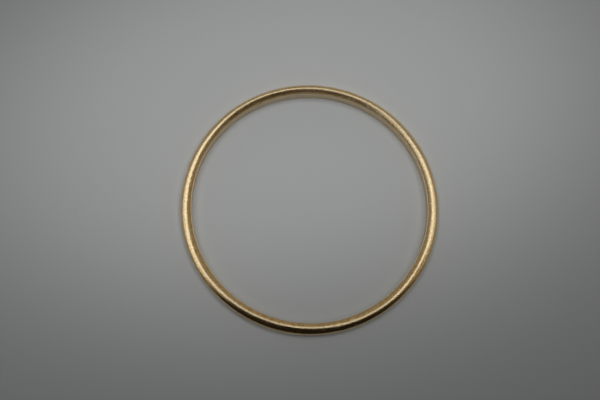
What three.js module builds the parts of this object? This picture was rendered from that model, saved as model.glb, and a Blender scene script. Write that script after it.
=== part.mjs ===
// A plain closed bangle: one solid gold hoop, flat on the side that faces the wrist and domed on
// the outside, lying on its side as it would on a table.
//
// Millimetres, +Z up. The origin is on the resting surface, straight below the centre of the
// opening, and the hoop's own axis is Z.

import * as THREE from "three";

// The driving dimensions.
const insideDiameter = 65; // the opening that the hand goes through: a medium closed bangle
const thickness = 3.15; // from the flat inner wall to the middle of the dome
const height = 3.8; // the hoop's height as it lies
const innerCornerRadius = 0.5; // the eased edges of the flat inner wall

// The facets that stand for the round surfaces.
const facetsRoundTheHoop = 120;
const facetsOverTheDome = 16; // from the top edge, over the outside, to the bottom edge
const facetsRoundACorner = 3; // from the inner wall to the top or the bottom edge

const edgeRadius = insideDiameter / 2 + innerCornerRadius; // where the corner meets the dome
const domeDepth = thickness - innerCornerRadius;
const halfHeight = height / 2;

const yellowGold = new THREE.MeshStandardMaterial({
  name: "yellow_gold",
  color: "#d9b36c",
  metalness: 1,
  roughness: 0.18,
});

// The directions that the section's facets face, in order: up, outwards over the dome, down,
// and round the inner wall. 0 is up and a quarter turn is outwards.
function facetDirections() {
  const directions = [];
  for (let i = 0; i <= facetsOverTheDome; i++) {
    const turn = (i / facetsOverTheDome) * Math.PI;
    directions.push(Math.atan2(halfHeight * Math.sin(turn), domeDepth * Math.cos(turn)));
  }
  for (let i = 1; i < 2 * facetsRoundACorner; i++) {
    directions.push(Math.PI + ((i / facetsRoundACorner) * Math.PI) / 2);
  }
  return directions;
}

// How far the section reaches from the middle of its edge line in a direction: to the half
// ellipse of the dome on the outside, and to the round corners of the wall on the inside.
function reach(direction) {
  const outwards = Math.sin(direction);
  const up = Math.cos(direction);
  if (outwards >= 0) {
    return Math.hypot(domeDepth * outwards, halfHeight * up);
  }
  return innerCornerRadius + (halfHeight - innerCornerRadius) * Math.abs(up);
}

// The section as a closed outline in the plane of radius and height. Its flats touch the true
// shape, and one of them faces straight down, so the hoop rests on a narrow level ring.
function hoopSection() {
  const directions = facetDirections();
  const outline = directions.map((direction, i) => {
    const next = directions[(i + 1) % directions.length];
    const between = Math.sin(next - direction);
    return new THREE.Vector2(
      edgeRadius + (reach(next) * Math.cos(direction) - reach(direction) * Math.cos(next)) / between,
      halfHeight + (reach(direction) * Math.sin(next) - reach(next) * Math.sin(direction)) / between,
    );
  });
  outline.reverse();
  outline.push(outline[0].clone());
  return outline;
}

// The hoop: the section turned once round the axis. A lathe turns round Y, so the mesh is stood
// up to bring that axis to Z.
function makeHoop() {
  const hoop = new THREE.Mesh(
    new THREE.LatheGeometry(hoopSection(), facetsRoundTheHoop),
    yellowGold,
  );
  hoop.name = "hoop";
  hoop.rotation.x = Math.PI / 2;
  return hoop;
}

const bangle = new THREE.Group();
bangle.name = "bangle";
bangle.add(makeHoop());

export default bangle;
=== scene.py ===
# A plain closed bangle of polished yellow gold, lying flat on a sheet of white card.
# Metres, +Z up. The hoop's axis is Z, and it rests on z = 0.

from math import atan2, hypot, pi, radians

import bmesh
import bpy
from mathutils import Matrix, Quaternion, Vector, noise


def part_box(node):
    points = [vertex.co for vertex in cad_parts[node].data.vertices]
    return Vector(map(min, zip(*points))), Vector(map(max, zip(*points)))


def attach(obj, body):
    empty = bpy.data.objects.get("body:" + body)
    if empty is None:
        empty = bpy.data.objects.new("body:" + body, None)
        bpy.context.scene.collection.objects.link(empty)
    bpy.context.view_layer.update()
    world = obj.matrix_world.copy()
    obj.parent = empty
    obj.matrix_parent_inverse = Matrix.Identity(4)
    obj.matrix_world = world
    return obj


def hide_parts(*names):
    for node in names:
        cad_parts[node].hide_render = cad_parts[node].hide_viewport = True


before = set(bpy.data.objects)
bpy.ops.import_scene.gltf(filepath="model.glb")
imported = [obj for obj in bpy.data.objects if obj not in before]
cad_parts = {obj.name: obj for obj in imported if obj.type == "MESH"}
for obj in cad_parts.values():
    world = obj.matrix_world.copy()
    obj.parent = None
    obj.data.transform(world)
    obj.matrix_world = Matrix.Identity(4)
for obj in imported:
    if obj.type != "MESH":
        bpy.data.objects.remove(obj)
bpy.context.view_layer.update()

MM = 0.001

# The hoop's section. Its outside and its height come from the CAD node.
hoop_low, hoop_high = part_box("hoop")
height = hoop_high.z
outer_radius = hoop_high.x
thickness = 3.15 * MM
inner_radius = outer_radius - thickness
corner_radius = 0.2 * MM
land = 0.2 * MM  # the narrow flats at top and bottom, between the inner corners and the dome
edge_radius = inner_radius + corner_radius + land  # where the lands meet the dome
worn_away = 0.13 * MM  # what wear has taken off the outermost face, which is now flat


# ---------------------------------------------------------------- the camera

camera_place = Vector((0.0, -0.0864, 0.3392))
camera_aim = Vector((-0.00296, 0.00215, 0.0))
camera_roll = radians(7.07)

camera = bpy.data.objects.new("camera", bpy.data.cameras.new("camera"))
camera.data.sensor_width = 36.0
camera.data.lens = 75.68
camera.data.clip_start = 0.01
camera.data.clip_end = 20.0
camera.location = camera_place
camera.rotation_mode = "QUATERNION"
camera.rotation_quaternion = (camera_aim - camera_place).to_track_quat("-Z", "Y") @ Quaternion(
    (0.0, 0.0, 1.0), camera_roll
)
bpy.context.scene.collection.objects.link(camera)
bpy.context.scene.camera = camera
bpy.context.scene.view_settings.view_transform = "Standard"


# ---------------------------------------------------------------- materials


def linear(hex_colour):
    """An sRGB hex colour as linear RGBA."""
    channels = [int(hex_colour[i : i + 2], 16) / 255 for i in (1, 3, 5)]
    return [c / 12.92 if c <= 0.04045 else ((c + 0.055) / 1.055) ** 2.4 for c in channels] + [1.0]


def add(tree, kind, inputs=None, **settings):
    """Adds a node. An input is a value, or another node's output to link from."""
    node = tree.nodes.new(kind)
    for name, value in settings.items():
        setattr(node, name, value)
    for name, value in (inputs or {}).items():
        # A Mix node has an A and a B for every kind of value, and only one pair is in use.
        in_use = [i for i in node.inputs if i.name == name and i.enabled]
        socket = in_use[0] if name in ("A", "B") else node.inputs[name]
        if isinstance(value, bpy.types.NodeSocket):
            tree.links.new(value, socket)
        else:
            socket.default_value = value
    return node


def new_material(name):
    material = bpy.data.materials.new(name)
    material.use_nodes = True
    material.node_tree.nodes.clear()
    return material


# Polished yellow gold, taken to be of low carat and rolled to a D, bent and soldered into a ring,
# then buffed and worn. It gives mirror reflections that break into glints where fine dents and
# scuffs tilt the surface.
glint_size = 0.4 * MM  # wear dents are 0.1 mm wide; drawn coarser, to show
glint_depth = 0.028 * MM
scuff_width = 0.35 * MM  # scuffs across the band are 0.05 mm wide; drawn coarser, to show
scuff_length = 3.0 * MM
scuff_depth = 0.003 * MM
buffed_patch = 4.0 * MM  # how far one patch of the buffing reaches
polish_lap = 0.06  # radians of the section that the dome's polish laps over onto each land
dome_reach = (pi / 2 + polish_lap) * height / 2  # how far round the section the buffed dome goes
satin_fade = 0.35 * MM  # how far the polish takes to turn into the satin of the inner wall
# The next two colours are the gold with painted shade for the dents, and with painted glints for
# the raised spots between them.
gold_with_glint = "#fde4b6"
gold_with_dent_shade = "#e0be86"
dulled_gold = "#d8c29e"
shade_to_glint_fade = (0.35, 0.65)  # where in the pattern of dents the painted shade of a dent turns into the painted glint of a raised spot
patch_fade = (0.3, 0.7)  # where in the pattern of patches the buffing goes from good to poor
best_buffed, worst_buffed = 0.12, 0.20  # roughness
satin_roughness = 0.3


def polished_yellow_gold():
    material = new_material("polished_yellow_gold")
    tree = material.node_tree
    place = add(tree, "ShaderNodeTexCoord").outputs["Object"]
    # The hoop's own map runs along the band and round its section, in metres.
    band = add(tree, "ShaderNodeUVMap", uv_map="band").outputs["UV"]

    patches = add(
        tree, "ShaderNodeTexNoise", {"Vector": place, "Scale": 1 / buffed_patch, "Detail": 2.0}
    ).outputs["Fac"]
    glints = add(
        tree, "ShaderNodeTexNoise", {"Vector": place, "Scale": 1 / glint_size, "Detail": 2.0}
    ).outputs["Fac"]
    stretched = add(
        tree,
        "ShaderNodeMapping",
        {"Vector": band, "Scale": (1 / scuff_width, 1 / scuff_length, 1.0)},
    ).outputs["Vector"]
    scuffs = add(
        tree, "ShaderNodeTexNoise", {"Vector": stretched, "Scale": 1.0, "Detail": 1.0}
    ).outputs["Fac"]

    # Painted shade and glints: the colour goes from darker in the dents to lighter on the raised
    # spots, in the same pattern as the bumps.
    polish = add(
        tree,
        "ShaderNodeMapRange",
        {"Value": glints, "From Min": shade_to_glint_fade[0], "From Max": shade_to_glint_fade[1]},
    ).outputs[0]
    bright = add(
        tree,
        "ShaderNodeMix",
        {"Factor": polish, "A": linear(gold_with_dent_shade), "B": linear(gold_with_glint)},
        data_type="RGBA",
    ).outputs[2]
    # How far round the section from the middle of the dome, on either side.
    round_section = add(tree, "ShaderNodeSeparateXYZ", {"Vector": band}).outputs["Y"]
    off_dome = add(tree, "ShaderNodeMath", {0: round_section}, operation="ABSOLUTE").outputs[0]
    inside = add(
        tree,
        "ShaderNodeMapRange",
        {"Value": off_dome, "From Min": dome_reach, "From Max": dome_reach + satin_fade},
        interpolation_type="SMOOTHSTEP",
    ).outputs[0]
    buffed = add(
        tree,
        "ShaderNodeMapRange",
        {
            "Value": patches,
            "From Min": patch_fade[0],
            "From Max": patch_fade[1],
            "To Min": best_buffed,
            "To Max": worst_buffed,
        },
    ).outputs[0]
    roughness = add(
        tree,
        "ShaderNodeMix",
        {"Factor": inside, "A": buffed, "B": satin_roughness},
        data_type="FLOAT",
    ).outputs[0]
    # Skin and soap have dulled the inner wall.
    colour = add(
        tree,
        "ShaderNodeMix",
        {"Factor": inside, "A": bright, "B": linear(dulled_gold)},
        data_type="RGBA",
    ).outputs[2]
    dented = add(
        tree, "ShaderNodeBump", {"Strength": 1.0, "Distance": glint_depth, "Height": glints}
    ).outputs["Normal"]
    scuffed = add(
        tree,
        "ShaderNodeBump",
        {"Strength": 1.0, "Distance": scuff_depth, "Height": scuffs, "Normal": dented},
    ).outputs["Normal"]
    shader = add(
        tree,
        "ShaderNodeBsdfPrincipled",
        {"Base Color": colour, "Metallic": 1.0, "Roughness": roughness, "Normal": scuffed},
    )
    add(tree, "ShaderNodeOutputMaterial", {"Surface": shader.outputs["BSDF"]})
    return material


# White card, uncoated, which gives a flat, matt white. A pool of light lies on it and falls off
# towards the edges of the table, with its middle behind the hoop's centre. The pool is drawn in
# the card's own colour.
pool_middle = (-0.010, 0.029)
pool_reach = (0.096, 0.060)  # where the card is halfway between its two colours
pool_turn = radians(18)
pool_edge = 3.8  # how sharply the pool ends
card_in_pool = "#ebebeb"
card_beyond_pool = "#808080"


def white_card():
    material = new_material("white_card")
    tree = material.node_tree
    place = add(tree, "ShaderNodeTexCoord").outputs["Object"]
    centred = add(
        tree,
        "ShaderNodeMapping",
        {
            "Vector": place,
            "Location": (*pool_middle, 0.0),
            "Rotation": (0.0, 0.0, pool_turn),
            "Scale": (*pool_reach, 1.0),
        },
        vector_type="TEXTURE",
    ).outputs["Vector"]
    distance = add(tree, "ShaderNodeVectorMath", {0: centred}, operation="LENGTH").outputs["Value"]
    falloff = add(
        tree, "ShaderNodeMath", {0: distance, 1: pool_edge}, operation="POWER"
    ).outputs[0]
    spread = add(tree, "ShaderNodeMath", {0: falloff, 1: 1.0}, operation="ADD").outputs[0]
    share = add(tree, "ShaderNodeMath", {0: 1.0, 1: spread}, operation="DIVIDE").outputs[0]
    colour = add(
        tree,
        "ShaderNodeMix",
        {"Factor": share, "A": linear(card_beyond_pool), "B": linear(card_in_pool)},
        data_type="RGBA",
    ).outputs[2]
    shader = add(
        tree,
        "ShaderNodeBsdfPrincipled",
        {"Base Color": colour, "Roughness": 0.9, "Specular IOR Level": 0.2},
    )
    add(tree, "ShaderNodeOutputMaterial", {"Surface": shader.outputs["BSDF"]})
    return material


# ---------------------------------------------------------------- the hoop


def finish_piece(name, bm, material):
    mesh = bpy.data.meshes.new(name)
    bm.to_mesh(mesh)
    bm.free()
    mesh.materials.append(material)
    piece = bpy.data.objects.new(name, mesh)
    bpy.context.scene.collection.objects.link(piece)
    return piece


# The band's slow waves, left by bending and hammering it round and by years of knocks.
long_wave = 9.0 * MM
long_wave_depth = 0.020 * MM
short_wave = 2.5 * MM
short_wave_depth = 0.003 * MM

# How finely the mesh is cut.
dome_steps = 64
corner_steps = 8
wall_cuts = 11
hoop_steps = 720
merge_distance = 0.001 * MM


def nearest_turn(angle, other):
    """The same angle, within half a turn of another one."""
    return angle + 2 * pi * round((other - angle) / (2 * pi))


def map_band(bm):
    """Gives the band its map: metres along the hoop, and metres round the section."""
    band = bm.loops.layers.uv.new("band")
    section_radius = height / 2
    for face in bm.faces:
        face.smooth = True
        first = None
        for loop in face.loops:
            x, y, z = loop.vert.co
            along = atan2(y, x)
            around = atan2(z - height / 2, hypot(x, y) - edge_radius)
            if first:
                along = nearest_turn(along, first[0])
                around = nearest_turn(around, first[1])
            first = first or (along, around)
            loop[band].uv = (along * edge_radius, around * section_radius)


def wear_surface(bm):
    """Moves the surface inwards in slow waves, and nowhere outwards."""
    bm.normal_update()
    for vert in bm.verts:
        wave = long_wave_depth * noise.noise(vert.co / long_wave)
        wave += short_wave_depth * noise.noise(vert.co / short_wave)
        vert.co += vert.normal * min(wave, 0.0)


def make_hoop():
    bm = bmesh.new()
    middle = Vector((edge_radius, 0.0, height / 2))
    across = (0.0, 1.0, 0.0)
    # The dome: half a turn of an arc from the top edge to the bottom one, drawn out to its depth.
    dome_top = bmesh.ops.create_vert(bm, co=(edge_radius, 0.0, height))["vert"][0]
    dome = bmesh.ops.spin(
        bm, geom=[dome_top], cent=middle, axis=across, angle=pi, steps=dome_steps
    )
    dome_bottom = dome["geom_last"][0]
    bmesh.ops.scale(
        bm,
        vec=((outer_radius - edge_radius) / (height / 2), 1.0, 1.0),
        space=Matrix.Translation(-middle),
        verts=bm.verts[:],
    )
    # Wear has cut the dome's outermost face flat.
    for vert in bm.verts:
        vert.co.x = min(vert.co.x, outer_radius - worn_away)
    # At each end of the dome, a narrow land and the eased corner of the inner wall.
    corner_start = inner_radius + corner_radius
    wall_ends = []
    for dome_end, turn in ((dome_top, -1), (dome_bottom, 1)):
        edge_height = dome_end.co.z
        start = bmesh.ops.create_vert(bm, co=(corner_start, 0.0, edge_height))["vert"][0]
        bm.edges.new((dome_end, start))
        centre = (corner_start, 0.0, edge_height + turn * corner_radius)
        corner = bmesh.ops.spin(
            bm,
            geom=[start],
            cent=centre,
            axis=across,
            angle=turn * pi / 2,
            steps=corner_steps,
        )
        wall_ends.append(corner["geom_last"][0])
    # The flat inner wall joins the two corners.
    wall = bm.edges.new(wall_ends)
    bmesh.ops.subdivide_edges(bm, edges=[wall], cuts=wall_cuts)
    bmesh.ops.spin(
        bm,
        geom=bm.verts[:] + bm.edges[:],
        cent=(0.0, 0.0, 0.0),
        axis=(0.0, 0.0, 1.0),
        angle=2 * pi,
        steps=hoop_steps,
        use_merge=True,
    )
    bmesh.ops.remove_doubles(bm, verts=bm.verts[:], dist=merge_distance)
    bmesh.ops.recalc_face_normals(bm, faces=bm.faces[:])
    map_band(bm)
    wear_surface(bm)
    return finish_piece("gold_hoop", bm, polished_yellow_gold())


hoop = make_hoop()
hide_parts("hoop")
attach(hoop, "root")


# ---------------------------------------------------------------- the card and the lights


card_reach = 4.0  # from the middle to each edge, so that the card fills every view


def make_card():
    bm = bmesh.new()
    bmesh.ops.create_grid(bm, x_segments=1, y_segments=1, size=card_reach)
    return finish_piece("card", bm, white_card())


make_card()


# The light comes from flat soft panels high over the table. The gold mirrors a frame of bright
# strips, dim in its middle and dimmer again beyond its sides. They don't light the card, which
# has a panel of its own that the gold doesn't mirror.
frame_height = 3.0
card_panel_lift = 0.5  # clear of the mirrored panels, which would hide it
daylight = "#ecf3ff"
lamplight = "#fff2d6"
card_light = "#f7fdff"


def soft_panel(name, across, along, brightness, colour=daylight):
    """A soft panel that faces straight down. It reaches across the table from left to right and
    along it from front to back, both as shares of the light frame's height over the table."""
    left, right = (share * frame_height for share in across)
    front, back = (share * frame_height for share in along)
    light = bpy.data.lights.new(name, "AREA")
    light.shape = "RECTANGLE"
    light.size = right - left
    light.size_y = back - front
    light.energy = brightness * pi * light.size * light.size_y
    light.color = linear(colour)[:3]
    panel = bpy.data.objects.new(name, light)
    panel.location = ((left + right) / 2, (front + back) / 2, frame_height)
    panel.visible_camera = False
    bpy.context.scene.collection.objects.link(panel)
    return panel


mirrored_panels = [
    soft_panel("front_strip", (-0.38, 0.25), (-0.39, -0.19), 0.88),
    soft_panel("front_left_strip", (-0.58, -0.38), (-0.48, -0.22), 1.0),
    soft_panel("front_right_strip", (0.25, 0.6), (-0.46, -0.2), 0.8),
    soft_panel("left_front_strip", (-1.3, -0.58), (-0.52, -0.15), 1.1),
    soft_panel("left_near_strip", (-1.3, -0.7), (-0.9, -0.52), 0.32, lamplight),
    soft_panel("left_middle_strip", (-1.3, -0.62), (-0.15, 0.1), 1.25),
    soft_panel("left_strip", (-1.3, -0.55), (0.1, 0.85), 1.27),
    soft_panel("left_back_strip", (-1.3, -0.72), (0.85, 1.3), 1.2),
    soft_panel("left_outer_strip", (-1.9, -1.3), (-1.0, 1.1), 0.77),
    soft_panel("left_wall", (-3.4, -1.9), (-1.8, 0.7), 0.52, lamplight),
    soft_panel("right_front_strip", (0.6, 0.85), (-0.36, -0.2), 1.1),
    soft_panel("right_middle_strip", (0.52, 0.85), (-0.2, 0.1), 1.1),
    soft_panel("right_side_strip", (0.57, 1.25), (0.1, 0.28), 1.3),
    soft_panel("right_strip", (0.5, 1.25), (0.28, 1.25), 1.15),
    soft_panel("right_outer_strip", (1.25, 2.0), (0.1, 1.4), 0.65),
    soft_panel("right_wall", (2.0, 3.4), (0.3, 1.6), 0.4, lamplight),
    soft_panel("right_low_strip", (0.85, 3.2), (-0.45, 0.1), 0.2, lamplight),
    soft_panel("right_inner_strip", (0.15, 0.5), (0.38, 0.65), 0.62),
    soft_panel("right_back_strip", (0.28, 0.5), (0.65, 1.25), 0.7),
    soft_panel("back_middle_strip", (0.02, 0.28), (0.98, 1.35), 0.4),
    soft_panel("back_strip", (-1.4, 0.9), (1.35, 2.2), 0.85),
    soft_panel("middle", (-0.2, 0.5), (-0.18, 0.33), 0.175, lamplight),
    soft_panel("middle_left", (-0.55, -0.2), (-0.15, 0.42), 0.18, lamplight),
]
for panel in mirrored_panels:
    panel.visible_diffuse = False
card_panel = soft_panel("card_panel", (-0.6, 0.6), (-0.42, 0.46), 1.65, card_light)
card_panel.location.z += card_panel_lift
card_panel.visible_glossy = False

# The room itself: pale low down at the back and both sides, more so on the left, and dark in
# front and overhead.
pale_side = (-0.14, 0.99, 0.0)
side_fade = (-0.68, 0.06)  # how far towards the pale side the paleness starts, and is full
overhead_fade = (0.35, 0.6)  # how high up the paleness starts to drop, and stops dropping
overhead_share = 0.15  # what is left of the paleness overhead
least_glow, most_glow = 0.012, 0.27
dark_room = "#ffe2bf"
pale_room = "#fafaf6"
world = bpy.data.worlds.new("studio")
world.use_nodes = True
room = world.node_tree
room.nodes.clear()
looking = add(room, "ShaderNodeTexCoord").outputs["Generated"]
upwards = add(room, "ShaderNodeSeparateXYZ", {"Vector": looking}).outputs["Z"]
backwards = add(
    room, "ShaderNodeVectorMath", {0: looking, 1: pale_side}, operation="DOT_PRODUCT"
).outputs["Value"]
behind = add(
    room,
    "ShaderNodeMapRange",
    {"Value": backwards, "From Min": side_fade[0], "From Max": side_fade[1]},
    interpolation_type="SMOOTHSTEP",
).outputs[0]
low_down = add(
    room,
    "ShaderNodeMapRange",
    {
        "Value": upwards,
        "From Min": overhead_fade[0],
        "From Max": overhead_fade[1],
        "To Min": 1.0,
        "To Max": overhead_share,
    },
    interpolation_type="SMOOTHSTEP",
).outputs[0]
pale = add(room, "ShaderNodeMath", {0: behind, 1: low_down}, operation="MULTIPLY").outputs[0]
glow = add(
    room, "ShaderNodeMapRange", {"Value": pale, "To Min": least_glow, "To Max": most_glow}
).outputs[0]
tint = add(
    room,
    "ShaderNodeMix",
    {"Factor": pale, "A": linear(dark_room), "B": linear(pale_room)},
    data_type="RGBA",
).outputs[2]
sky = add(room, "ShaderNodeBackground", {"Color": tint, "Strength": glow})
add(room, "ShaderNodeOutputWorld", {"Surface": sky.outputs[0]})
bpy.context.scene.world = world
